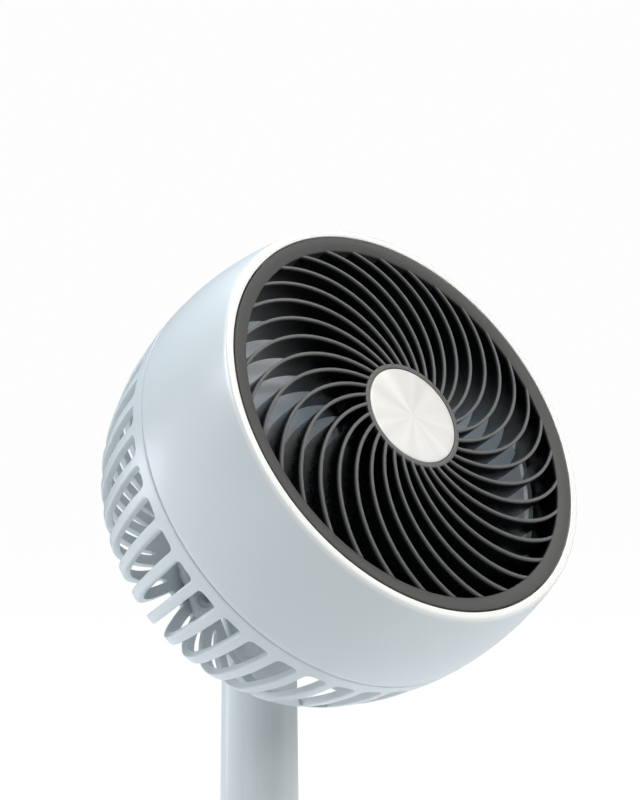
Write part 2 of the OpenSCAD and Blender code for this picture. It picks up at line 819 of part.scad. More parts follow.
module handle_tube() {
    hole_y = sqrt(pow(handle_r(neck_screw_z), 2) - 36) - 1;
    color("white") difference() {
        translate([0, 0, cap_disc_t])
            cylinder(r1 = handle_r(cap_disc_t), r2 = handle_top_r, h = handle_len - cap_disc_t, $fn = 180);
        translate([0, 0, cap_disc_t - over]) cylinder(r = bore_r, h = handle_len);
        box([-groove_half, 0, frame_bottom], [groove_half, groove_y, handle_len - spigot_len]);
        translate([0, 0, button_z]) rod_y(button_r + button_gap, -2 * bore_r, 0);
        for (i = [0:light_count - 1]) translate([0, 0, light_z - i * light_step]) rod_y(light_r, -2 * bore_r, 0);
        translate([6, 0, neck_screw_z]) {
            rod_y(screw_r + 0.1, 0, 2 * bore_r);
            rod_y(2, hole_y, 2 * bore_r);
        }
    }
}

module inner_frame() {
    color("whitesmoke") difference() {
        union() {
            intersection() {
                tube(frame_r, frame_in_r, frame_bottom, frame_top);
                box([-bore_r, 0, frame_bottom], [bore_r, bore_r, frame_top]);
            }
            disc(frame_r, frame_top - frame_disc_t, frame_top);
            intersection() {
                disc(frame_r, frame_bottom, frame_bottom + frame_disc_t);
                box([-bore_r, 0, frame_bottom], [bore_r, bore_r, frame_top]);
            }
            for (z = board_screw_z) translate([0, 0, z]) rod_y(2, 0, frame_r - 1);
            translate([0, cap_screw_y, 0]) disc(2.4, frame_bottom, frame_bottom + 3.5);
        }
        for (z = board_screw_z) translate([0, 0, z]) rod_y(board_screw_r + snug, -over, board_screw_len);
        translate([0, cap_screw_y, 0]) disc(0.9, frame_bottom - over, frame_bottom + 6);
        box([-groove_half, 2.4, board_top - 9.4], [groove_half, bore_r, frame_top + over]);
        box([-tab_w / 2 - 0.2, -pcb_t - 1, frame_top - frame_disc_t - over],
            [tab_w / 2 + 0.2, 0, frame_top + over]);
    }
}

module circuit_board() {
    color("seagreen") difference() {
        box([-board_half, -pcb_t, board_bottom], [board_half, 0, board_top]);
        for (z = board_screw_z) translate([0, 0, z]) rod_y(1, -pcb_t - over, over);
        for (side = [-1, 1]) translate([side * board_half, 0, 0])
            box([-1.4, -pcb_t - over, board_bottom - over], [1.4, over, frame_bottom]);
    }
}

module board_screws() {
    color("silver") for (z = board_screw_z) translate([0, -pcb_t, z]) rotate([-90, 0, 0])
        screw(board_screw_r, board_screw_len, board_screw_head_r, board_screw_head_t);
}

module board_chips() {
    color("black") {
        box([-6.5, -pcb_t - 1, board_bottom + 18], [-2.5, -pcb_t, board_bottom + 23]);
        box([2.4, -pcb_t - 0.9, board_bottom + 17.5], [5.4, -pcb_t, board_bottom + 20.5]);
        box([2.5, -pcb_t - 2, board_bottom + 22.5], [6.5, -pcb_t, board_bottom + 26.5]);
        box([-6.4, -pcb_t - 0.9, board_bottom + 26], [-3.4, -pcb_t, board_bottom + 29]);
    }
}

// Rounded slot along Z, as wide as a charging socket.
module socket_slot(width, height, from, to) {
    translate([0, usb_y, from]) linear_extrude(to - from) union() {
        for (side = [-1, 1]) translate([side * (width - height) / 2, 0]) circle(r = height / 2, $fn = 48);
        translate([-(width - height) / 2, -height / 2]) square([width - height, height]);
    }
}

module usb_socket() {
    color("silver") difference() {
        socket_slot(usb_w, usb_h, usb_front, usb_front + usb_len);
        difference() {
            socket_slot(usb_w - 0.6, usb_h - 0.6, usb_front - over, usb_front + usb_len - 1);
            box([-3.3, usb_y - 0.35, usb_front + 0.8], [3.3, usb_y + 0.35, usb_front + usb_len]);
        }
    }
}

module tact_switch() {
    color("black") translate([0, 0, button_z]) difference() {
        box([-switch_half, -pcb_t - switch_h, -switch_half], [switch_half, -pcb_t, switch_half]);
        rod_y(plunger_r + 0.1, -pcb_t - switch_h - over, -pcb_t - switch_h + plunger_hide + button_travel + 0.2);
    }
}

module switch_plunger() {
    color("dimgray") translate([0, 0, button_z]) rod_y(plunger_r, button_back, -pcb_t - switch_h + plunger_hide);
}

module power_button() {
    color("whitesmoke") translate([0, 0, button_z]) union() {
        intersection() {
            rod_y(button_r, -2 * bore_r, button_flange_y + button_flange_t);
            translate([0, 0, -2 * button_r]) cylinder(r = handle_r(button_z) + button_proud, h = 4 * button_r);
        }
        rod_y(button_flange_r, button_flange_y, button_flange_y + button_flange_t);
        rod_y(2.2, button_flange_y, button_back);
    }
}

module indicator_leds() {
    color("ivory") for (i = [0:light_count - 1])
        box([-0.8, -pcb_t - 0.7, light_z - i * light_step - 0.5], [0.8, -pcb_t, light_z - i * light_step + 0.5]);
}

module indicator_lens() {
    color("white") union() {
        intersection() {
            for (i = [0:light_count - 1]) translate([0, 0, light_z - i * light_step])
                rod_y(light_r - 0.03, -2 * bore_r, light_bar_y + light_bar_t);
            translate([0, 0, cap_disc_t])
                cylinder(r1 = handle_r(cap_disc_t) - 0.1, r2 = handle_top_r - 0.1, h = handle_len - cap_disc_t);
        }
        box([-light_r - 0.4, light_bar_y, light_z - (light_count - 1) * light_step - 1.4],
            [light_r + 0.4, light_bar_y + light_bar_t, light_z + 1.4]);
    }
}

module battery_cell() {
    color("steelblue") union() {
        disc(cell_r, cell_bottom, cell_bottom + cell_len);
        disc(3, cell_bottom + cell_len - over, cell_top);
    }
}

module cell_tabs() {
    color("silver") {
        box([-tab_w / 2, -pcb_t - tab_t, cell_bottom - tab_t], [tab_w / 2, 5, cell_bottom]);
        box([-tab_w / 2, -pcb_t - tab_t, board_top - tab_lap], [tab_w / 2, -pcb_t, cell_bottom]);
        box([-tab_w / 2, -5, cell_top], [tab_w / 2, lead_y - tab_back, cell_top + tab_t]);
    }
}

module cell_pad() {
    color("dimgray") difference() {
        disc(bore_r - 0.3, cell_top + tab_t, cell_top + pad_t);
        box([-groove_half, 1.5, cell_top - over], [groove_half + 0.2, bore_r, cell_top + pad_t + over]);
    }
}

// Lead from the circuit board up the groove and through the neck to the hinge.
handle_lead_route = [
    [lead_x, 0, board_top - 7], [lead_x, 1.6, board_top - 7], [lead_x, 3.6, board_top - 6],
    [lead_x, 6, board_top - 3.6], [lead_x, 8.2, board_top - 0.6], [lead_x, lead_y, board_top + 2],
    [lead_x, lead_y, board_top + 5], [lead_x, lead_y, cell_top - 20], [lead_x, lead_y, cell_top - 1],
    [lead_x, 8.8, cell_top + 1.6], [lead_x, 6.8, cell_top + 4.4], [0.5, 4, cell_top + 8],
    [0.2, 1.8, cell_top + 12], [0, 0.6, cell_top + 17], [0, 0, pivot_z - 9], [0, 0, pivot_z - 5],
    [0.7, 0, pivot_z - 2.2], [2.6, 0, pivot_z - 0.5], [5, 0, pivot_z], [8, 0, pivot_z],
    [ear_out + bush_flange_t, 0, pivot_z]];
module handle_lead() {
    color("black") lead(handle_lead_route, lead_r);
}

// Lead from the battery cell's upper tab down the groove to the circuit board.
cell_lead_route = [
    [-lead_x, lead_y - tab_back - 0.6, cell_top + tab_t + lead_r],
    [-lead_x, lead_y - 0.7, cell_top + tab_t + lead_r], [-lead_x, lead_y, cell_top - 1.4],
    [-lead_x, lead_y, cell_top - 20], [-lead_x, lead_y, board_top + 5], [-lead_x, lead_y, board_top + 2],
    [-lead_x, 8.2, board_top - 0.6], [-lead_x, 6, board_top - 3.6], [-lead_x, 3.6, board_top - 6],
    [-lead_x, 1.6, board_top - 7], [-lead_x, 0, board_top - 7]];
module cell_lead() {
    color("red") lead(cell_lead_route, lead_r);
}

module bottom_cap() {
    color("white") difference() {
        union() {
            rotate_extrude() union() {
                translate([0, end_round]) square([handle_r(0), cap_disc_t - end_round]);
                square([handle_r(0) - end_round, cap_disc_t]);
                translate([handle_r(0) - end_round, end_round]) circle(r = end_round);
            }
            tube(bore_r - 0.08, bore_r - 1.8, cap_disc_t - over, frame_bottom);
        }
        socket_slot(usb_w + 0.3, usb_h + 0.3, -over, cap_disc_t + over);
        translate([0, cap_screw_y, 0]) {
            disc(screw_r, -over, cap_disc_t + over);
            disc(2.1, -over, 1.3);
        }
    }
}

module cap_screw() {
    color("silver") translate([0, cap_screw_y, 1.3]) screw(0.9, frame_bottom + 2, 2, 1.1);
}

front_shell();
rear_grille();
front_grille();
centre_cap();
motor_carrier();
clamp_screws();
stator_core();
stator_windings();
motor_board();
bearing_tube();
bearing_bushes();
bearing_cap();
hinge_bracket();
bracket_screws();
pivot_bush();
head_lead();
impeller();
rotor_cup();
magnet_ring();
motor_shaft();
shaft_clip();
neck();
friction_washers();
pivot_screw();
spring_washer();
neck_screw();
handle_tube();
inner_frame();
circuit_board();
board_screws();
board_chips();
usb_socket();
tact_switch();
indicator_leds();
indicator_lens();
battery_cell();
cell_tabs();
cell_pad();
handle_lead();
cell_lead();
bottom_cap();
cap_screw();
power_button();
switch_plunger();
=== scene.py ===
import bpy
import bmesh
import json
import math
from mathutils import Matrix, Vector


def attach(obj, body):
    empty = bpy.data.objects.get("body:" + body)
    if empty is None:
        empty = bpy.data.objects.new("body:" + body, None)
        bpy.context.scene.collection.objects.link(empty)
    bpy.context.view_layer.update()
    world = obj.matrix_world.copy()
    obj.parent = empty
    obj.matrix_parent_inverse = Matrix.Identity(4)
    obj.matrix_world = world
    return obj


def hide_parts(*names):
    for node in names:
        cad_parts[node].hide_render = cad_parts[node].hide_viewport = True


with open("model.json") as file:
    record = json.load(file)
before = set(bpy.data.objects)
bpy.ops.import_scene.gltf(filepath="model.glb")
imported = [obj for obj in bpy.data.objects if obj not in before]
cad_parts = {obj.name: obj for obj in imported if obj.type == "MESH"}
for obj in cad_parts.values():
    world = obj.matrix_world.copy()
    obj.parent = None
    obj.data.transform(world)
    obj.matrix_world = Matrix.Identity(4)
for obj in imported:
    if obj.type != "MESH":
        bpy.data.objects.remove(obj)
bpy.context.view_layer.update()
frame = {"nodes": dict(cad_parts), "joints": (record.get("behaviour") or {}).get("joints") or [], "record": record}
nodes = frame["nodes"]
record = frame["record"]
mm = 0.001
print("frame loaded:", len(nodes), "nodes")

# Where the head sits: its spin axis comes from the frame's joints. Head pieces are
# modelled round the origin with Z running back and Y running down, then moved there.
spinJoint = next(j for j in frame["joints"] if j["name"] == "impeller_spin")
ringCentre = Vector(spinJoint["pos_m"])
facing = Vector(spinJoint["axis"]).normalized()
backward = -facing
sideways = Vector((1, 0, 0))
downward = backward.cross(sideways)
headTurn = Matrix((sideways, downward, backward)).transposed().to_4x4()
headPlace = Matrix.Translation(ringCentre) @ headTurn

view = {
    "offset": Vector((-0.39972, -0.40179, 0.00479)),  # from the front grille's centre
    "turn": -42.26,
    "lens": 90,
    "sensor": 36,
    "nearest": 0.01,
}


def setCamera():
    cameraData = bpy.data.cameras.new("viewCamera")
    cameraData.lens = view["lens"]
    cameraData.sensor_width = view["sensor"]
    cameraData.clip_start = view["nearest"]
    camera = bpy.data.objects.new("viewCamera", cameraData)
    bpy.context.scene.collection.objects.link(camera)
    camera.location = ringCentre + view["offset"]
    camera.rotation_euler = (math.radians(90), 0, math.radians(view["turn"]))
    bpy.context.scene.camera = camera


setCamera()
bpy.context.scene.view_settings.view_transform = "Standard"
print("camera set")


# A shader socket that can be used in sums, and a maker of nodes for one material.
class Socket:
    def __init__(self, maker, link):
        self.maker = maker
        self.link = link

    def __add__(self, other):
        return self.maker.maths("ADD", self, other)

    __radd__ = __add__

    def __mul__(self, other):
        return self.maker.maths("MULTIPLY", self, other)

    def __sub__(self, other):
        return self.maker.maths("SUBTRACT", self, other)

    def __rsub__(self, other):
        return self.maker.maths("SUBTRACT", other, self)

    def __truediv__(self, other):
        return self.maker.maths("DIVIDE", self, other)

    def __pow__(self, other):
        return self.maker.maths("POWER", self, other)


class Maker:
    def __init__(self, name):
        self.material = bpy.data.materials.new(name)
        self.material.use_nodes = True
        self.tree = self.material.node_tree
        self.tree.nodes.clear()

    def node(self, kind, settings, values, output=0):
        made = self.tree.nodes.new("ShaderNode" + kind)
        for key, value in settings.items():
            setattr(made, key, value)
        for key, value in values.items():
            if isinstance(value, Socket):
                self.tree.links.new(value.link, made.inputs[key])
            else:
                made.inputs[key].default_value = value
        return Socket(self, made.outputs[output])

    def maths(self, operation, a, b):
        return self.node("Math", {"operation": operation}, {0: a, 1: b})

    def vectors(self, operation, values, output=0):
        return self.node("VectorMath", {"operation": operation}, values, output)

    def objectPlace(self):
        return self.node("TexCoord", {}, {}, "Object")

    def noise(self, place, scale, detail=2.0, roughness=0.5):
        return self.node("TexNoise", {}, {"Vector": place, "Scale": scale, "Detail": detail,
                                          "Roughness": roughness}, "Fac")

    def between(self, share, dark, light):
        return self.node("Mix", {"data_type": "RGBA"}, {0: share, 6: dark, 7: light}, 2)

    # between a darker and a lighter shade of one colour
    def shades(self, share, colour, darker, lighter):
        return self.between(share, tinted(colour, darker), tinted(colour, lighter))

    def ramped(self, value, low, high):
        return self.node("MapRange", {}, {"Value": value, "From Min": low, "From Max": high})

    def bump(self, height, strength, distance):
        return self.node("Bump", {}, {"Height": height, "Strength": strength,
                                      "Distance": distance})

    # distance behind the head's front plane and from its axis, in metres, and the way from it
    def headPlaces(self):
        outward = self.vectors("SUBTRACT", {0: self.objectPlace(), 1: tuple(ringCentre)})
        depth = self.vectors("DOT_PRODUCT", {0: outward, 1: tuple(backward)}, "Value")
        across = self.vectors("CROSS_PRODUCT", {0: outward, 1: tuple(facing)})
        radius = self.vectors("LENGTH", {0: across}, "Value")
        return depth, radius, across

    def surface(self, values):
        return self.output(self.node("BsdfPrincipled", {}, values))

    def output(self, shader):
        out = self.tree.nodes.new("ShaderNodeOutputMaterial")
        self.tree.links.new(shader.link, out.inputs["Surface"])
        return self.material


# sRGB in 0..255 to the linear colour that a shader takes
def rgb(red, green, blue):
    def linear(v):
        v = v / 255
        return v / 12.92 if v <= 0.04045 else ((v + 0.055) / 1.055) ** 2.4
    return (linear(red), linear(green), linear(blue), 1)


def tinted(colour, factor):
    return tuple(min(1, c * factor) for c in colour[:3]) + (1,)


plastic = {
    "darker": 0.965, "lighter": 1.03, "cloudGloss": 0.06, "grainGloss": 0.05,
    "grainHeight": 0.00004, "scatter": 0.004, "coatRoughness": 0.2,
}


# What every moulded plastic has: a faint cloudiness, an uneven gloss and a fine grain.
def mouldedSkin(m, look):
    place = m.objectPlace()
    cloud = m.noise(place, look["cloud"], 3)
    grain = m.noise(place, look["grain"], 2)
    rough = (look["roughness"] + (cloud - 0.5) * plastic["cloudGloss"]
             + (grain - 0.5) * plastic["grainGloss"])
    return cloud, rough, m.bump(grain, look["bump"], plastic["grainHeight"])


def mouldedPlastic(name, look):
    m = Maker(name)
    cloud, rough, grain = mouldedSkin(m, look)
    return m.surface({
        "Base Color": m.shades(cloud, look["colour"], plastic["darker"], plastic["lighter"]),
        "Roughness": rough,
        "Normal": grain,
        "Subsurface Weight": look.get("subsurface", 0.0),
        "Subsurface Scale": plastic["scatter"],
        "Coat Weight": look.get("coat", 0.0),
        "Coat Roughness": plastic["coatRoughness"],
    })


# The head's white plastic, whose rounded rim round the grille is polished, and painted lighter and warmer as a
# painted highlight.
def rimHighlightPlastic(name, look):
    m = Maker(name)
    cloud, rough, grain = mouldedSkin(m, look)
    depth = m.headPlaces()[0]
    # rim masks the lip: painted lighter and warmer there as a painted highlight, and less rough for its real
    # polish
    rim = 1 - m.ramped(depth, look["rimFrom"], look["rimTo"])
    side = m.shades(cloud, look["colour"], plastic["darker"], plastic["lighter"])
    return m.surface({
        "Base Color": m.between(rim, side, look["rim"]),
        "Roughness": rough - rim * look["rimPolish"],
        "Normal": grain,
        "Coat Weight": look["coat"],
        "Coat Roughness": plastic["coatRoughness"],
    })


metal = {"darker": 0.9, "lighter": 1.05, "grainGloss": 0.18, "grainHeight": 0.00003}


def machinedMetal(name, look):
    m = Maker(name)
    place = m.objectPlace()
    cloud = m.noise(place, look["cloud"], 3)
    grain = m.noise(place, look["grain"], 4, 0.65)
    return m.surface({
        "Base Color": m.shades(cloud, look["colour"], metal["darker"], metal["lighter"]),
        "Metallic": 1.0,
        "Roughness": look["roughness"] + (grain - 0.5) * metal["grainGloss"],
        "Normal": m.bump(grain, look["bump"], metal["grainHeight"]),
    })


crownPower = 6  # how late the vanes' front falls away to the band


# Dark plastic: the vanes' front edges are painted lighter as a painted highlight, and the walls behind them
# painted dark teal as painted shade.
def sheenAndShadePaintedPlastic(name, look):
    m = Maker(name)
    cloud, rough, grain = mouldedSkin(m, look)
    depth, radius = m.headPlaces()[:2]
    bandStart, blur = look["bandStart"], look["bandBlur"]
    crowned = (radius / bandStart) ** crownPower * look["crownRise"] - look["crown"]
    # painted shade: the walls turn dark teal with depth behind the vanes' front edges
    wallShade = m.ramped(depth - crowned, look["wallShadeFrom"], look["wallShadeTo"])
    onBand = m.ramped(radius, bandStart - blur, bandStart + blur)
    # the vanes' front edges are painted lighter than the band: a painted highlight
    edges = m.shades(cloud, look["vane"], 0.95, 1.05)
    band = m.shades(cloud, look["colour"], 0.94, 1.06)
    return m.surface({
        "Base Color": m.between(wallShade, m.between(onBand, edges, band), look["wall"]),
        "Roughness": rough - wallShade * look["wallPolish"],
        "Normal": grain,
        "Specular IOR Level": look["specular"],
    })


# Metal brushed in rings round the fan's axis, with the rays that such rings reflect painted into its colour as
# painted reflection.
def ringBrushedMetal(name, look):
    m = Maker(name)
    radius, across = m.headPlaces()[1:]
    rings = m.node("TexNoise", {"noise_dimensions": "1D"},
                   {"W": radius, "Scale": look["rings"], "Detail": 3.0, "Roughness": 0.7}, "Fac")
    cloud = m.noise(m.objectPlace(), look["cloud"], 3)
    # painted reflection: lighter and darker rays round the axis, multiplied into the colour
    star = m.noise(m.vectors("NORMALIZE", {0: across}), look["star"], 1.5, 0.6)
    ringed = m.shades(rings, look["colour"], 0.95, 1.03)
    paintedRays = m.between(star, look["shade"], (1, 1, 1, 1))
    rayed = m.node("Mix", {"data_type": "RGBA", "blend_type": "MULTIPLY"},
                   {0: 1.0, 6: ringed, 7: paintedRays}, 2)
    return m.surface({
        "Base Color": rayed,
        "Metallic": 1.0,
        "Roughness": look["roughness"] + (cloud - 0.5) * look["cloudGloss"],
        "Normal": m.bump(rings, look["bump"], look["height"]),
    })


def woundCopper(name, look):
    m = Maker(name)
    turns = m.node("TexWave", {"wave_type": "BANDS", "bands_direction": "Y"},
                   {"Vector": m.objectPlace(), "Scale": look["turns"], "Distortion": 0.6,
                    "Detail": 1.0}, "Fac")
    return m.surface({
        "Base Color": m.shades(turns, look["colour"], 0.6, 1.1),
        "Metallic": 0.9,
        "Roughness": look["roughness"] - turns * look["polish"],
        "Normal": m.bump(turns, look["bump"], look["height"]),
    })


def circuitLaminate(name, look):
    m = Maker(name)
    place = m.objectPlace()
    tracks = m.node("TexBrick", {"offset": 0.5},
                    {"Vector": place, "Scale": look["tracks"], "Mortar Size": look["gap"],
                     "Color1": look["colour"], "Color2": tinted(look["colour"], 0.85),
                     "Mortar": tinted(look["colour"], 1.8)}, "Color")
    cloud = m.noise(place, look["cloud"], 2)
    return m.surface({
        "Base Color": tracks,
        "Roughness": look["roughness"] + cloud * look["cloudGloss"],
        "Coat Weight": look["coat"],
    })


rubber = {"roughness": 0.62, "grainGloss": 0.2, "grainHeight": 0.0001}


def softRubber(name, look):
    m = Maker(name)
    grain = m.noise(m.objectPlace(), look["grain"], 4, 0.7)
    return m.surface({
        "Base Color": m.shades(grain, look["colour"], 0.8, 1.2),
        "Roughness": rubber["roughness"] + (grain - 0.5) * rubber["grainGloss"],
        "Normal": m.bump(grain, look["bump"], rubber["grainHeight"]),
    })


finishes = {
    "white_shell": (rimHighlightPlastic, {
        "colour": rgb(219, 224, 225), "rim": rgb(241, 243, 240), "rimFrom": 0.0006,
        "rimTo": 0.0013, "rimPolish": 0.1, "roughness": 0.32, "cloud": 14, "grain": 2600,
        "bump": 0.10, "coat": 0.25}),
    "grille_grey": (sheenAndShadePaintedPlastic, {
        # vane is the painted highlight on the vanes' front edges, wall the painted shade behind them
        "colour": rgb(63, 63, 61), "vane": rgb(94, 94, 94), "wall": rgb(8, 14, 18),
        "roughness": 0.46, "wallPolish": 0.18, "cloud": 30, "grain": 3200, "bump": 0.16,
        "specular": 0.35, "crown": 0.0013, "crownRise": 0.0019, "bandStart": 0.0557,
        "bandBlur": 0.0002, "wallShadeFrom": 0.0003, "wallShadeTo": 0.0010}),
    "brushed_cap": (ringBrushedMetal, {
        "colour": rgb(222, 222, 221), "roughness": 0.6, "cloud": 60, "cloudGloss": 0.08,
        "rings": 9000, "bump": 0.3, "height": 0.0001, "star": 2.2,
        "shade": (0.66, 0.66, 0.65, 1)}),
    "light_plastic": (mouldedPlastic, {
        "colour": rgb(208, 217, 222), "roughness": 0.42, "cloud": 30, "grain": 2600,
        "bump": 0.12}),
    "blade_plastic": (mouldedPlastic, {
        "colour": rgb(222, 230, 237), "roughness": 0.34, "cloud": 30, "grain": 2600,
        "bump": 0.10}),
    "steel": (machinedMetal, {
        "colour": rgb(214, 215, 217), "roughness": 0.26, "cloud": 150, "grain": 1800,
        "bump": 0.2}),
    "core_steel": (machinedMetal, {
        "colour": rgb(168, 172, 176), "roughness": 0.36, "cloud": 120, "grain": 1500,
        "bump": 0.3}),
    "coated_steel": (mouldedPlastic, {
        "colour": rgb(222, 226, 228), "roughness": 0.4, "cloud": 60, "grain": 1400,
        "bump": 0.3}),
    "copper": (woundCopper, {
        "colour": rgb(196, 122, 74), "turns": 900, "roughness": 0.42, "polish": 0.1,
        "bump": 0.6, "height": 0.0002}),
    "board_green": (circuitLaminate, {
        "colour": rgb(34, 92, 62), "tracks": 220, "gap": 0.03, "cloud": 300,
        "roughness": 0.32, "cloudGloss": 0.12, "coat": 0.4}),
    "brass": (machinedMetal, {
        "colour": rgb(206, 178, 110), "roughness": 0.28, "cloud": 120, "grain": 1500,
        "bump": 0.2}),
    "bronze": (machinedMetal, {
        "colour": rgb(182, 134, 92), "roughness": 0.5, "cloud": 200, "grain": 2600,
        "bump": 0.5}),
    "dark_plastic": (mouldedPlastic, {
        "colour": rgb(34, 35, 37), "roughness": 0.45, "cloud": 40, "grain": 2600,
        "bump": 0.2}),
    "magnet": (machinedMetal, {
        "colour": rgb(70, 70, 72), "roughness": 0.55, "cloud": 200, "grain": 2200,
        "bump": 0.5}),
    "handle_white": (mouldedPlastic, {
        "colour": rgb(215, 220, 220), "roughness": 0.34, "cloud": 18, "grain": 2600,
        "bump": 0.10, "coat": 0.15}),
    "nickel": (machinedMetal, {
        "colour": rgb(205, 204, 200), "roughness": 0.22, "cloud": 150, "grain": 1800,
        "bump": 0.15}),
    "led_body": (mouldedPlastic, {
        "colour": rgb(236, 230, 196), "roughness": 0.25, "cloud": 200, "grain": 2600,
        "bump": 0.1}),
    "lens": (mouldedPlastic, {
        "colour": rgb(240, 243, 246), "roughness": 0.18, "cloud": 100, "grain": 2600,
        "bump": 0.05, "subsurface": 0.4}),
    "cell_wrap": (mouldedPlastic, {
        "colour": rgb(74, 112, 158), "roughness": 0.24, "cloud": 60, "grain": 1800,
        "bump": 0.12, "coat": 0.5}),
    "foam": (softRubber, {"colour": rgb(48, 48, 50), "grain": 1800, "bump": 1.0}),
    "lead_black": (softRubber, {"colour": rgb(30, 30, 31), "grain": 2500, "bump": 0.15}),
    "lead_red": (softRubber, {"colour": rgb(168, 34, 30), "grain": 2500, "bump": 0.15}),
    "button_white": (mouldedPlastic, {
        "colour": rgb(232, 235, 237), "roughness": 0.3, "cloud": 60, "grain": 2600,
        "bump": 0.08, "coat": 0.2}),
}
materials = {slot: make(slot, look) for slot, (make, look) in finishes.items()}
slotOf = {row["node"]: row["material_slot"] for row in record["subparts"]}
for name, obj in nodes.items():
    obj.data.materials.clear()
    obj.data.materials.append(materials[slotOf[name]])
print("materials made:", len(materials))


def deselectAll():
    if bpy.context.object and bpy.context.object.mode != "OBJECT":
        bpy.ops.object.mode_set(mode="OBJECT")
    bpy.ops.object.select_all(action="DESELECT")


def activate(piece):
    deselectAll()
    piece.select_set(True)
    bpy.context.view_layer.objects.active = piece


# Spins the active piece's section round an upright axis, and welds it into one closed wall.
def spun(piece, steps, angle, axisX=0.0):
    bpy.ops.object.mode_set(mode="EDIT")
    bpy.ops.mesh.select_all(action="SELECT")
    bpy.ops.mesh.spin(steps=steps, angle=angle, center=(axisX, 0, 0), axis=(0, 0, 1))
    bpy.ops.mesh.select_all(action="SELECT")
    bpy.ops.mesh.remove_doubles(threshold=1e-7)
    bpy.ops.mesh.normals_make_consistent(inside=False)
    bpy.ops.object.mode_set(mode="OBJECT")
    return piece


# A body turned from its section, a ring of (radius, depth) points in millimetres.
def turned(name, outline, steps, toAxis=False):
    deselectAll()
    bpy.ops.mesh.primitive_circle_add(vertices=len(outline), radius=1, fill_type="NOTHING")
    piece = bpy.context.object
    piece.name = name
    for vertex, (radius, depth) in zip(piece.data.vertices, outline):
        vertex.co = (radius * mm, 0, depth * mm)
    if toAxis:  # the section starts and ends on the axis, where it needs no wall
        edit = bmesh.new()
        edit.from_mesh(piece.data)
        onAxis = [e for e in edit.edges if all(abs(v.co.x) < 1e-9 for v in e.verts)]
        bmesh.ops.delete(edit, geom=onAxis, context="EDGES")
        edit.to_mesh(piece.data)
        edit.free()
    return spun(piece, steps, 2 * math.pi)


# Rounds the sharp edges, or with only, those of them whose middle it takes.
def bevelled(piece, width, segments=2, angle=30, clamp=True, only=None):
    activate(piece)
    bevel = piece.modifiers.new("softEdge", "BEVEL")
    bevel.width = width * mm
    bevel.segments = segments
    bevel.limit_method = "WEIGHT" if only else "ANGLE"
    bevel.angle_limit = math.radians(angle)
    bevel.use_clamp_overlap = clamp
    bevel.loop_slide = clamp
    if only:
        edit = bmesh.new()
        edit.from_mesh(piece.data)
        weight = edit.edges.layers.float.new("bevel_weight_edge")
        for edge in edit.edges:
            middle = (edge.verts[0].co + edge.verts[1].co) / 2 / mm
            sharp = edge.calc_face_angle(0) > math.radians(angle)
            edge[weight] = 1.0 if sharp and only(middle) else 0.0
        edit.to_mesh(piece.data)
        edit.free()
    bpy.ops.object.modifier_apply(modifier=bevel.name)


def smoothed(piece, angle=35):
    activate(piece)
    bpy.ops.object.shade_smooth_by_angle(angle=math.radians(angle))


def joined(name, pieces):
    deselectAll()
    for piece in pieces:
        piece.select_set(True)
    bpy.context.view_layer.objects.active = pieces[0]
    bpy.ops.object.join()
    pieces[0].name = name
    return pieces[0]


# The piece and its copies round the fan's axis, clockwise seen from the front.
def ringOfCopies(piece, count):
    copies = [piece]
    for k in range(1, count):
        copy = piece.copy()
        copy.data = piece.data.copy()
        copy.data.transform(Matrix.Rotation(-2 * math.pi * k / count, 4, "Z"))
        bpy.context.scene.collection.objects.link(copy)
        copies.append(copy)
    return copies


def settle(piece, body, slot, *replaced, place=headPlace):
    piece.data.transform(place)
    piece.data.update()
    piece.data.materials.clear()
    piece.data.materials.append(materials[slot])
    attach(piece, body)
    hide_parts(*replaced)


# Front grille: a band, a hub ring and one spiral vane copied round. Lengths are in
# millimetres here and in all that follow.
grille = {
    "outer": 60, "band": 4.3, "bandFall": 0.7, "bandTail": 1, "bandEdge": 0.3, "flange": 3.4,
    "skirt": 1.5, "vanes": 33, "vaneThick": 1.0, "vaneDepth": 12.2, "vaneCurve": 34.4,
    "vaneOffset": 31.9, "vaneTurn": 65.5, "vaneSteps": 34, "vaneRoot": 0.6, "vaneProud": 0.1,
    "vaneEdge": 0.28, "crown": 1.2, "hub": 16.7, "hubHole": 15.3, "hubFloor": 0.5,
    "hubPlate": 1.6, "hubEdge": 0.18,
}


# Where the vane's arc crosses a radius, as an angle about the arc's own centre.
def vaneAngle(radius):
    g = grille
    return math.acos((radius ** 2 - g["vaneOffset"] ** 2 - g["vaneCurve"] ** 2)
                     / (2 * g["vaneOffset"] * g["vaneCurve"]))


def makeVane():
    g = grille
    back = g["vaneDepth"] - g["crown"]
    half = g["vaneThick"] / 2
    start = vaneAngle(g["hub"] - g["vaneRoot"])
    end = vaneAngle(g["outer"] - g["band"] + g["skirt"] / 2)
    # the section stands across the arc at its inner end, and is spun about the arc's centre
    deselectAll()
    bpy.ops.mesh.primitive_plane_add(size=1)
    vane = bpy.context.object
    vane.name = "vane"
    corners = [(-half, 0), (half, 0), (-half, back), (half, back)]
    for vertex, (across, depth) in zip(vane.data.vertices, corners):
        reach = g["vaneCurve"] + across
        vertex.co = ((g["vaneOffset"] + reach * math.cos(start)) * mm,
                     reach * math.sin(start) * mm, depth * mm)
    spun(vane, g["vaneSteps"], start - end, g["vaneOffset"] * mm)
    bevelled(vane, g["vaneEdge"], 3, 40)
    for vertex in vane.data.vertices:
        outward = vertex.co.xy.length / mm / (g["outer"] - g["band"])
        front = ((g["crown"] + g["bandFall"]) * outward ** crownPower
                 - g["crown"] - g["vaneProud"])
        share = 1 - vertex.co.z / mm / back
        vertex.co.z += front * mm * share
    vane.data.transform(Matrix.Rotation(-math.radians(g["vaneTurn"]), 4, "Z"))
    return vane


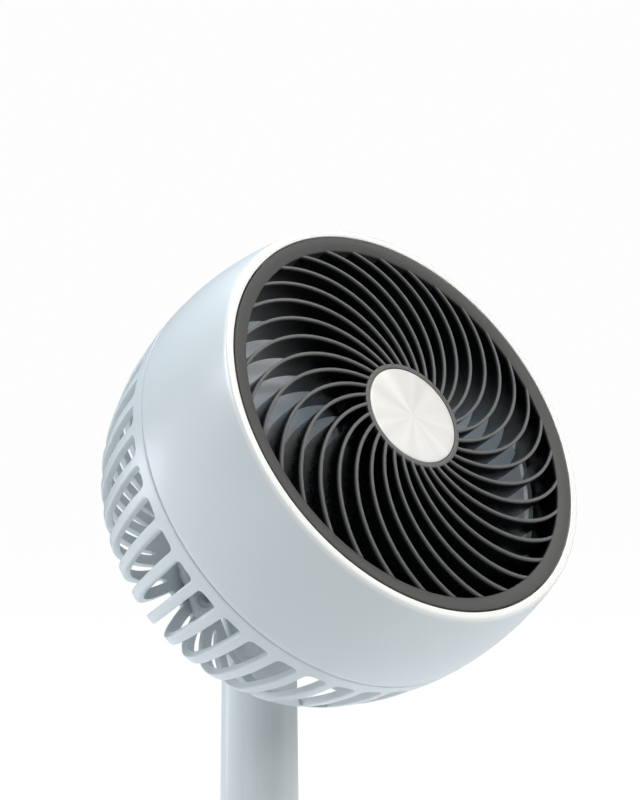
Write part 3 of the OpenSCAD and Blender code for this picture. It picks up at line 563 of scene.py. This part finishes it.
def makeFrontGrille():
    g = grille
    inner = g["outer"] - g["band"]
    back = g["vaneDepth"] - g["crown"]
    plateBack = g["hubFloor"] + g["hubPlate"]
    band = turned("band", [
        (inner, g["bandFall"]), (g["outer"], 0), (g["outer"], g["flange"]),
        (inner + g["skirt"], g["flange"]), (inner + g["skirt"], back + g["bandTail"]),
        (inner, back + g["bandTail"])], steps=192)
    bevelled(band, g["bandEdge"], 3)
    hub = turned("hub", [
        (g["hub"], -g["crown"]), (g["hub"], back), (g["hubHole"], back),
        (g["hubHole"], plateBack), (0, plateBack), (0, g["hubFloor"]),
        (g["hubHole"], g["hubFloor"]), (g["hubHole"], -g["crown"])], steps=128, toAxis=True)
    bevelled(hub, g["hubEdge"], 2)
    piece = joined("frontGrille", [band, hub] + ringOfCopies(makeVane(), g["vanes"]))
    smoothed(piece)
    settle(piece, "head", "grille_grey", "front_grille")


makeFrontGrille()
print("front grille made")

# metal cap in the grille's hub, slightly dished
cap = {"radius": 15.2, "front": -1.1, "thick": 1.6, "dish": 0.12, "dishSteps": 8, "edge": 0.3}


def makeCap():
    c = cap
    shares = [k / c["dishSteps"] for k in range(c["dishSteps"] + 1)]
    face = [(c["radius"] * s, c["front"] + c["dish"] * (1 - s ** 2)) for s in shares]
    back = c["front"] + c["thick"]
    piece = turned("centreCap", face + [(c["radius"], back), (0, back)], steps=160, toAxis=True)
    bevelled(piece, c["edge"], 3, 50)
    smoothed(piece)
    settle(piece, "head", "brushed_cap", "centre_cap")


makeCap()
print("cap made")

# fan blades: one curved blade copied round a turned hub
fan = {
    "blades": 5, "turn": 45, "span": 58, "front": 14, "depth": 16, "tip": 51, "root": 1,
    "thick": 1.4, "edge": 0.4, "sweepRadius": 62, "sweepCentre": 34, "hub": 17,
    "hubWall": 1.8, "hubFront": 13, "hubBack": 29.5, "hubEdge": 0.8,
}


def makeBlade():
    f = fan
    deselectAll()
    bpy.ops.mesh.primitive_grid_add(x_subdivisions=10, y_subdivisions=14, size=1)
    blade = bpy.context.object
    blade.name = "blade"
    for vertex in blade.data.vertices:
        across, back = vertex.co.x + 0.5, vertex.co.y + 0.5
        x = f["hub"] - f["root"] + across * (f["tip"] - f["hub"] + f["root"])
        y = math.sqrt(f["sweepRadius"] ** 2 - (x - f["sweepCentre"]) ** 2) - f["sweepRadius"]
        radius = min(math.hypot(x, y), f["tip"])
        turn = math.atan2(y, x) + math.radians(f["span"] * back)
        vertex.co = (radius * math.cos(turn) * mm, -radius * math.sin(turn) * mm,
                     (f["front"] + f["depth"] * back) * mm)
    activate(blade)
    wall = blade.modifiers.new("wall", "SOLIDIFY")
    wall.thickness = f["thick"] * mm
    wall.offset = 0
    bpy.ops.object.modifier_apply(modifier=wall.name)
    bevelled(blade, f["edge"], 2, 50)
    fine = blade.modifiers.new("fine", "SUBSURF")
    fine.levels = fine.render_levels = 1
    bpy.ops.object.modifier_apply(modifier=fine.name)
    blade.data.transform(Matrix.Rotation(math.radians(f["turn"]), 4, "Z"))
    return blade


def makeImpeller():
    f = fan
    inner, floorBack = f["hub"] - f["hubWall"], f["hubFront"] + f["hubWall"]
    hub = turned("fanHub", [
        (0, f["hubFront"]), (f["hub"], f["hubFront"]), (f["hub"], f["hubBack"]),
        (inner, f["hubBack"]), (inner, floorBack), (0, floorBack)],
        steps=96, toAxis=True)
    bevelled(hub, f["hubEdge"], 4, 50)
    piece = joined("fanBlades", [hub] + ringOfCopies(makeBlade(), f["blades"]))
    smoothed(piece, 50)
    settle(piece, "rotor", "blade_plastic", "impeller")


makeImpeller()
print("fan blades made")

# the head's shells, turned from two arcs that meet at the rear shoulder
shell = {
    "widest": 67.1, "widestBack": 30, "sideCurve": 105, "rearCurve": 37.2, "depth": 92.4,
    "wall": 2.2, "seam": 36.2, "seamGap": 0.35, "tongue": 1.4, "tongueFront": 1.6,
    "tongueFit": 0.05, "lipRadius": 60.4, "lipRound": 0.8, "lipSteps": 6, "shellEdge": 0.18,
    "flange": 3.4, "seat": 2, "seatRadius": 57.6, "slots": 42, "rib": 3.3,
    "slotStart": 41.6, "slotCorner": 1.6, "disc": 30, "discRings": [24, 16, 8, 0],
    "edge": 0.55, "edgeRoom": 0.15, "bossRadius": 3.2, "bossPlace": 62.0, "bossFront": 22.2,
    "bossBack": 31.2, "bossTurn": 45, "bossInset": 0.5, "bossReach": 2,
    "notch": (12.8, 3.6, 69.0), "notchFrame": 3,
    "frameStart": 55, "beyond": (90, 110),
    "wingBosses": [(20.6, 6.2), (20.6, 16.2), (-20.6, 6.2), (-20.6, 16.2)], "wingBoss": 2.8,
}
sideX = shell["widest"] - shell["sideCurve"]
rearZ = shell["depth"] - shell["rearCurve"]
rearX = sideX + math.sqrt((shell["sideCurve"] - shell["rearCurve"]) ** 2
                          - (rearZ - shell["widestBack"]) ** 2)
shoulder = math.atan2(rearZ - shell["widestBack"], rearX - sideX)  # where the arcs meet


# A point of the head's outline, by the direction in which its surface faces.
def outlineAt(angle, inset=0.0):
    if angle <= shoulder:
        reach = shell["sideCurve"] - inset
        return sideX + reach * math.cos(angle), shell["widestBack"] + reach * math.sin(angle)
    reach = shell["rearCurve"] - inset
    return rearX + reach * math.cos(angle), rearZ + reach * math.sin(angle)


def angleAtDepth(depth, inset=0.0):
    side = (depth - shell["widestBack"]) / (shell["sideCurve"] - inset)
    if math.asin(max(-1, min(1, side))) <= shoulder:
        return math.asin(side)
    return math.asin(min(1, (depth - rearZ) / (shell["rearCurve"] - inset)))


def outlineRun(start, end, inset, steps):
    return [outlineAt(start + (end - start) * k / steps, inset) for k in range(steps + 1)]


def onOutside(point):
    radius, depth = point.xy.length, point.z
    near = 0.5
    if depth < outlineAt(shoulder)[1]:
        reach = math.hypot(radius - sideX, depth - shell["widestBack"])
        return reach > shell["sideCurve"] - near
    if radius < rearX:
        return depth > shell["depth"] - near
    return math.hypot(radius - rearX, depth - rearZ) > shell["rearCurve"] - near


def makeBoss(x, y, radius, front, back, edge):
    deselectAll()
    bpy.ops.mesh.primitive_cylinder_add(
        vertices=32, radius=radius * mm, depth=(back - front) * mm,
        location=(x * mm, y * mm, (front + back) / 2 * mm))
    boss = bpy.context.object
    bpy.ops.object.transform_apply(location=True, rotation=True, scale=True)
    bevelled(boss, edge, 2, 50)
    return boss


# the four places of the clamp screws round the seam
def screwPlaces():
    turns = [math.radians(shell["bossTurn"] + 90 * k) for k in range(4)]
    return [(shell["bossPlace"] * math.cos(t), shell["bossPlace"] * math.sin(t)) for t in turns]


def makeFrontShell():
    f = shell
    lipAngle = math.asin((f["lipRound"] - f["widestBack"]) / (f["sideCurve"] - f["lipRound"]))
    centre = outlineAt(lipAngle, f["lipRound"])
    lip = []
    for k in range(f["lipSteps"] + 1):
        turn = -math.pi / 2 + (math.pi / 2 + lipAngle) * k / f["lipSteps"]
        lip.append((centre[0] + f["lipRound"] * math.cos(turn),
                    centre[1] + f["lipRound"] * math.sin(turn)))
    seatBack = f["flange"] + f["seat"]
    outside = outlineRun(lipAngle, angleAtDepth(f["seam"]), 0, 20)[1:]
    inside = outlineRun(angleAtDepth(f["seam"], f["wall"]), angleAtDepth(seatBack, f["wall"]),
                        f["wall"], 14)
    seat = [(f["seatRadius"], seatBack), (f["seatRadius"], f["flange"]),
            (f["lipRadius"], f["flange"])]
    section = [(f["lipRadius"], 0)] + lip + outside + inside + seat
    wall = turned("frontShell", section, steps=240)
    bevelled(wall, f["shellEdge"], 2, 50)
    bosses = [makeBoss(x, y, f["bossRadius"], f["bossFront"], f["bossBack"], edge=0.4)
              for x, y in screwPlaces()]
    piece = joined("frontShell", [wall] + bosses)
    smoothed(piece)
    settle(piece, "head", "white_shell", "front_shell")


makeFrontShell()
print("front shell made")


def cutBy(piece, low, high, operation):
    deselectAll()
    bpy.ops.mesh.primitive_cube_add(size=1)
    block = bpy.context.object
    for vertex in block.data.vertices:
        vertex.co = tuple((low[i] if vertex.co[i] < 0 else high[i]) * mm for i in range(3))
    activate(piece)
    cut = piece.modifiers.new("cut", "BOOLEAN")
    cut.operation = operation
    cut.object = block
    cut.solver = "EXACT"
    bpy.ops.object.modifier_apply(modifier=cut.name)
    bpy.data.objects.remove(block)


# One rib with half a slot on each side, as a grid that runs from the seam to the centre of
# the back. Its rows follow the slot's rounded ends, so that their edges can be rounded.
def makeRibSector():
    f = shell
    pitch = 2 * math.pi / f["slots"]
    half, corner = f["rib"] / 2, f["slotCorner"]
    slotEnd = f["disc"] * math.sin(pitch / 2) - half
    fanWidth = f["edge"] + f["edgeRoom"]
    cornerTurns = (0, 22, 42, 60, 76, 90)
    fanStart, fanShare = 27, 0.7
    endShare = 0.85  # how much of a half circle the slot's inner end takes
    # columns in millimetres from the rib's middle
    across = [half / 3] + [half + corner * (1 - math.cos(math.radians(a))) for a in cornerTurns]
    columns = ["edge"] + [-c for c in reversed(across)] + across + ["edge"]
    startAngle = angleAtDepth(f["seam"] + f["seamGap"])
    slotAngle = angleAtDepth(f["slotStart"] + corner)
    discAngle = math.acos((f["disc"] - rearX) / f["rearCurve"])
    bandRun = f["sideCurve"] * (slotAngle - startAngle)
    bandRows, ribRows = 5, 26
    slotRow, fanRow = bandRows - 1, bandRows - 2
    slotEndRow = bandRows + ribRows - 1
    discRow = slotEndRow + 2
    rows = discRow + len(f["discRings"])

    # A slot's rounded end, or with widen the row of points just outside it.
    def slotRound(column, radius, sweep, widen):
        if columns[column] == "edge":
            return None, radius + widen
        k = max(len(cornerTurns) - column, column - len(columns) + 1 + len(cornerTurns))
        turn = math.radians(cornerTurns[max(k, 0)] * sweep)
        if widen:
            turn = math.radians(fanStart) + turn * fanShare
        run = (radius + widen) * math.sin(turn)
        if k < 0:  # the rib's middle
            return columns[column], run
        reach = half + radius - (radius + widen) * math.cos(turn)
        return math.copysign(reach, columns[column]), run

    def ribPoint(row, column):
        x = None if columns[column] == "edge" else columns[column]
        if row < slotRow:
            fanX, run = slotRound(column, corner, 1, fanWidth)
            run += (bandRun - run) * (1 - row / fanRow)
            x = fanX if row == fanRow else x
            angle = slotAngle - run / f["sideCurve"]
        elif row == slotRow:
            x, run = slotRound(column, corner, 1, 0)
            angle = slotAngle - run / f["sideCurve"]
        elif row < slotEndRow:
            angle = slotAngle + (discAngle - slotAngle) * (row - slotRow) / ribRows
        else:
            x, run = slotRound(column, slotEnd, endShare, 0 if row == slotEndRow else fanWidth)
            angle = discAngle + run / f["rearCurve"]
        radius, depth = outlineAt(angle)
        turn = math.copysign(pitch / 2, column - 1) if x is None else x / radius
        if row >= discRow:  # the disc's points run in to the centre
            radius, depth = f["discRings"][row - discRow], f["depth"]
        return radius * math.cos(turn) * mm, radius * math.sin(turn) * mm, depth * mm

    deselectAll()
    bpy.ops.mesh.primitive_grid_add(x_subdivisions=len(columns) - 1, y_subdivisions=rows - 1,
                                    size=1)
    sector = bpy.context.object
    sector.name = "ribSector"
    points = sector.data.vertices
    order = sorted(range(len(points)),
                   key=lambda i: (round(points[i].co.y, 4), round(points[i].co.x, 4)))
    place = {}
    for index, i in enumerate(order):
        place[i] = divmod(index, len(columns))
        points[i].co = ribPoint(*place[i])
    # the slot's faces go
    bpy.ops.object.mode_set(mode="EDIT")
    edit = bmesh.from_edit_mesh(sector.data)
    edit.verts.ensure_lookup_table()
    middle = [k for k, x in enumerate(columns) if x != "edge" and abs(x) <= half + 1e-6]
    for face in edit.faces:
        spots = [place[v.index] for v in face.verts]
        inSlot = all(slotRow <= row <= slotEndRow for row, column in spots)
        onRib = all(middle[0] <= column <= middle[-1] for row, column in spots)
        face.select_set(inSlot and not onRib)
    bmesh.update_edit_mesh(sector.data)
    bpy.ops.mesh.delete(type="FACE")
    bpy.ops.object.mode_set(mode="OBJECT")
    return sector


def makeSlottedWall():
    f = shell
    piece = joined("rearGrille", ringOfCopies(makeRibSector(), f["slots"]))
    bpy.ops.object.mode_set(mode="EDIT")
    bpy.ops.mesh.select_all(action="SELECT")
    bpy.ops.mesh.remove_doubles(threshold=2e-6)
    bpy.ops.mesh.delete_loose()
    bpy.ops.mesh.select_all(action="SELECT")
    bpy.ops.mesh.normals_make_consistent(inside=False)
    bpy.ops.object.mode_set(mode="OBJECT")
    wall = piece.modifiers.new("wall", "SOLIDIFY")
    wall.thickness = f["wall"] * mm
    wall.offset = -1
    wall.use_even_offset = True
    bpy.ops.object.modifier_apply(modifier=wall.name)
    bevelled(piece, f["edge"], 3, 50, clamp=False, only=onOutside)
    return piece


# Round the handle's notch a plain frame takes the place of the ribs.
def makeNotchFrame(wall):
    f = shell
    halfX, top, front = f["notch"]
    grow = f["notchFrame"]
    bottom, back = f["beyond"]
    frameLow = (-halfX - grow, top - grow, front - grow)
    frameHigh = (halfX + grow, bottom, back)
    cutBy(wall, frameLow, frameHigh, "DIFFERENCE")
    outside = outlineRun(angleAtDepth(f["frameStart"]), math.pi / 2, 0, 24)
    inside = outlineRun(math.pi / 2, angleAtDepth(f["frameStart"], f["wall"]), f["wall"], 24)
    section = [(0, f["depth"])] + outside[::-1] + inside[::-1] + [(0, f["depth"] - f["wall"])]
    rim = turned("notchFrame", section, steps=f["slots"] * 8, toAxis=True)
    cutBy(rim, (-halfX, top, front), (halfX, bottom, back), "DIFFERENCE")
    bevelled(rim, f["edge"], 4, 50)
    cutBy(rim, frameLow, frameHigh, "INTERSECT")
    return rim


# the lip inside the seam, over which the front shell fits
def makeTongue():
    f = shell
    seam, front = f["seam"], f["seam"] - f["tongueFront"]
    places = [(seam, f["wall"] / 3), (seam + 1, f["wall"] / 3), (seam + 2, f["wall"] + f["tongue"]),
              (front, f["wall"] + f["tongue"]), (front, f["wall"] + f["tongueFit"]),
              (seam, f["wall"] + f["tongueFit"])]
    section = [outlineAt(angleAtDepth(depth), inset) for depth, inset in places]
    return turned("tongue", section, steps=240)


def makeRearGrille():
    f = shell
    wall = makeSlottedWall()
    parts = [wall, makeNotchFrame(wall), makeTongue()]
    seamBoss, reach = f["bossRadius"] - f["bossInset"], f["bossReach"]
    bosses = [(x, y, seamBoss, f["seam"] - reach, f["seam"] + reach) for x, y in screwPlaces()]
    inside = f["depth"] - f["wall"]
    bosses += [(x, y, f["wingBoss"], inside - reach, f["depth"] - f["wall"] / 2)
               for x, y in f["wingBosses"]]
    parts += [makeBoss(*boss, edge=0.3) for boss in bosses]
    piece = joined("rearGrille", parts)
    smoothed(piece)
    settle(piece, "head", "white_shell", "rear_grille")


makeRearGrille()
print("rear grille made")

# pieces that are copies of their solids, with small rounds on their edges
softened = {
    "handleTube": {"body": "handle", "node": "handle_tube", "width": 0.35, "segments": 3},
    "neckPiece": {"body": "handle", "node": "neck", "width": 0.4, "segments": 3},
    "bottomCap": {"body": "handle", "node": "bottom_cap", "width": 0.5, "segments": 3},
    "powerButton": {"body": "button", "node": "power_button", "width": 0.3, "segments": 3},
    "hingeBracket": {"body": "head", "node": "hinge_bracket", "width": 0.25, "segments": 2},
}


def softenedCopy(name, look):
    node = look["node"]
    source = nodes[node]
    piece = source.copy()
    piece.data = source.data.copy()
    piece.name = name
    for key in list(piece.keys()):
        del piece[key]
    bpy.context.scene.collection.objects.link(piece)
    activate(piece)
    bpy.ops.object.mode_set(mode="EDIT")
    bpy.ops.mesh.select_all(action="SELECT")
    bpy.ops.mesh.remove_doubles(threshold=1e-6)
    bpy.ops.mesh.dissolve_limited(angle_limit=math.radians(0.5))
    bpy.ops.object.mode_set(mode="OBJECT")
    bevelled(piece, look["width"], look["segments"], 45)
    smoothed(piece)
    print(name, "softened:", len(source.data.vertices), "->", len(piece.data.vertices), "points")
    settle(piece, look["body"], slotOf[node], node, place=Matrix.Identity(4))


for name, look in softened.items():
    softenedCopy(name, look)
print("handle pieces softened")

# The floor is white paper that glows for the camera, and is plain paint for everything else.
paper = {
    "size": 160, "cloud": 2, "dark": rgb(206, 207, 208), "light": rgb(212, 213, 214),
    "glow": 1.035, "glowShare": 0.95,
}


def makeFloor():
    deselectAll()
    bpy.ops.mesh.primitive_plane_add(size=paper["size"], location=(0, 0, 0))
    floor = bpy.context.object
    floor.name = "floor"
    m = Maker("floorPaint")
    cloud = m.noise(m.objectPlace(), paper["cloud"], 2)
    matt = m.node("BsdfDiffuse", {}, {"Color": m.between(cloud, paper["dark"], paper["light"])})
    glow = m.node("Emission", {}, {"Strength": paper["glow"]})
    seen = m.node("LightPath", {}, {}, "Is Camera Ray")
    mixed = m.node("MixShader", {}, {"Fac": seen * paper["glowShare"], 1: matt, 2: glow})
    floor.data.materials.append(m.output(mixed))


lights = {
    "key": {"from": ringCentre + facing * 1.15, "size": 0.5, "power": 5.2,
            "colour": (1.0, 0.97, 0.93)},
    "leftHigh": {"from": (-0.94, 0.38, 1.02), "size": 0.7, "power": 9.6,
                 "colour": (0.86, 0.93, 1.0)},
    "leftLow": {"from": (-0.81, 0.67, 0.22), "size": 0.7, "power": 1.4,
                "colour": (1.0, 1.0, 0.97)},
    "leftFar": {"from": (-0.63, 1.18, 0.10), "size": 0.5, "power": 2.8,
                "colour": (0.9, 0.97, 1.0)},
    "back": {"from": (0.18, 0.58, 1.22), "size": 0.6, "power": 15.5,
             "colour": (0.82, 0.91, 1.0)},
    "right": {"from": (0.44, -0.47, 1.12), "size": 0.6, "power": 6.5,
              "colour": (1.0, 0.97, 0.93)},
    "rightBack": {"from": (1.0, -0.44, 0.62), "size": 0.7, "power": 2.6,
                  "colour": (0.95, 0.98, 1.0)},
}
sky = {"seen": 0.985, "light": 0.03, "colour": (0.94, 0.98, 1, 1)}


def setLights():
    for name, light in lights.items():
        data = bpy.data.lights.new(name, "AREA")
        data.shape = "SQUARE"
        data.size = light["size"]
        data.energy = light["power"]
        data.color = light["colour"]
        lamp = bpy.data.objects.new(name, data)
        bpy.context.scene.collection.objects.link(lamp)
        lamp.location = light["from"]
        lamp.rotation_euler = (ringCentre - lamp.location).to_track_quat("-Z", "Y").to_euler()


# The camera sees a white sky, which lights the scene only faintly.
def setSky():
    world = bpy.data.worlds.new("studio")
    bpy.context.scene.world = world
    world.use_nodes = True
    tree = world.node_tree
    tree.nodes.clear()
    mix = tree.nodes.new("ShaderNodeMixShader")
    shades = [(sky["colour"], sky["light"]), ((1, 1, 1, 1), sky["seen"])]
    for socket, (colour, strength) in enumerate(shades, 1):
        background = tree.nodes.new("ShaderNodeBackground")
        background.inputs["Color"].default_value = colour
        background.inputs["Strength"].default_value = strength
        tree.links.new(background.outputs[0], mix.inputs[socket])
    path = tree.nodes.new("ShaderNodeLightPath")
    tree.links.new(path.outputs["Is Camera Ray"], mix.inputs["Fac"])
    out = tree.nodes.new("ShaderNodeOutputWorld")
    tree.links.new(mix.outputs[0], out.inputs["Surface"])


makeFloor()
setLights()
setSky()
print("floor and lights set")
